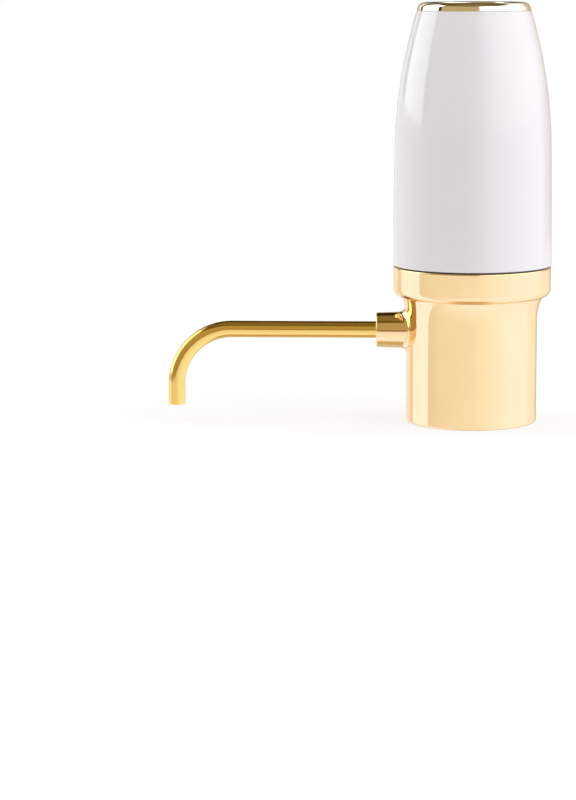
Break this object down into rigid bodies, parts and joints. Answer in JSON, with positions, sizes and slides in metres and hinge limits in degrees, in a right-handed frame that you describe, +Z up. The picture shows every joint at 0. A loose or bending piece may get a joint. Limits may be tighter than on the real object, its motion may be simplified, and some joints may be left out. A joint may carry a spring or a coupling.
{
  "type": "electric wine aerator",
  "caption": "Tapered white housing with a top push button and inner air pump on a gold flanged skirt that plugs onto a bottle, with a collar for a swivelling bent spout.",
  "frame": {"origin": "on the bottle's axis, at the face of the stopper's flange that the bottle's lip seats on", "axes": "+Z up along the bottle's axis, the spout leaves along -X and the charging socket faces +Y"},
  "size_m": [0.1369, 0.0564, 0.1485],
  "materials": {
    "plated_gold": "mirror-bright pale gold electroplating on plastic",
    "gold_tube": "polished pale gold plating on a metal tube",
    "gloss_white": "glossy white moulding",
    "dark_plastic": "fine satin black moulding",
    "steel": "drawn stainless steel",
    "silicone": "milky silicone",
    "black_rubber": "black rubber",
    "copper": "copper and bronze",
    "ferrite": "sintered ferrite",
    "nylon": "natural nylon",
    "cell_sleeve": "shrink-sleeved cell",
    "board_green": "solder-masked board",
    "light_pipe": "clear light guide"
  },
  "bodies": {
    "housing": {"base_shell": "plated_gold", "flow_core": "dark_plastic", "stopper": "silicone", "dip_nipple": "steel", "spout_o_rings": "black_rubber", "aerator_disc": "steel", "air_check_valve": "silicone", "air_hose": "silicone", "chassis": "dark_plastic", "chassis_screws": "steel", "pump_cushion": "black_rubber", "pump_head": "dark_plastic", "valve_plate": "nylon", "valve_flap": "black_rubber", "diaphragm": "black_rubber", "diaphragm_seat": "dark_plastic", "pump_casing": "dark_plastic", "pump_screws": "steel", "motor_can": "steel", "motor_magnets": "ferrite", "motor_bushes": "copper", "motor_end_cap": "dark_plastic", "motor_terminals": "copper", "battery_cell": "cell_sleeve", "battery_tabs": "steel", "control_board": "board_green", "board_screws": "steel", "charging_socket": "steel", "status_light": "light_pipe", "switch_board": "board_green", "push_switch": "dark_plastic", "button_guide": "dark_plastic", "button_spring": "steel", "top_bezel": "plated_gold", "shell_gasket": "black_rubber", "upper_shell": "gloss_white", "shell_screws": "steel"},
    "spout": {"spout_tube": "gold_tube"},
    "button": {"push_button": "plated_gold", "switch_plunger": "black_rubber"},
    "rotor": {"motor_shaft": "steel", "rotor_core": "copper", "eccentric": "nylon", "crank_pin": "steel"},
    "wobbler": {"wobble_plate": "nylon"}
  },
  "joints": [
    {"name": "button_press", "type": "slide", "parent": "housing", "child": "button", "axis": [0, 0, -1], "range_m": [0, 0.0015], "stiffness_N_per_m": 400, "springref_m": -0.004, "deforming": ["button_spring"]},
    {"name": "pump_spin", "type": "hinge", "parent": "housing", "child": "rotor", "pos_m": [0.0065, 0, 0.08], "axis": [0, 0, 1], "continuous": true, "deforming": ["diaphragm"]},
    {"name": "wobble_nutation", "type": "hinge", "parent": "rotor", "child": "wobbler", "pos_m": [0.0065, 0, 0.0477], "axis": [0.1219, 0, 0.9925], "continuous": true, "deforming": ["diaphragm"]},
    {"name": "spout_swivel", "type": "hinge", "parent": "housing", "child": "spout", "pos_m": [-0.034, 0, 0.0102], "axis": [1, 0, 0], "continuous": true}
  ],
  "couplings": [
    {"joint": "wobble_nutation", "follows": "pump_spin", "ratio": -1}
  ]
}
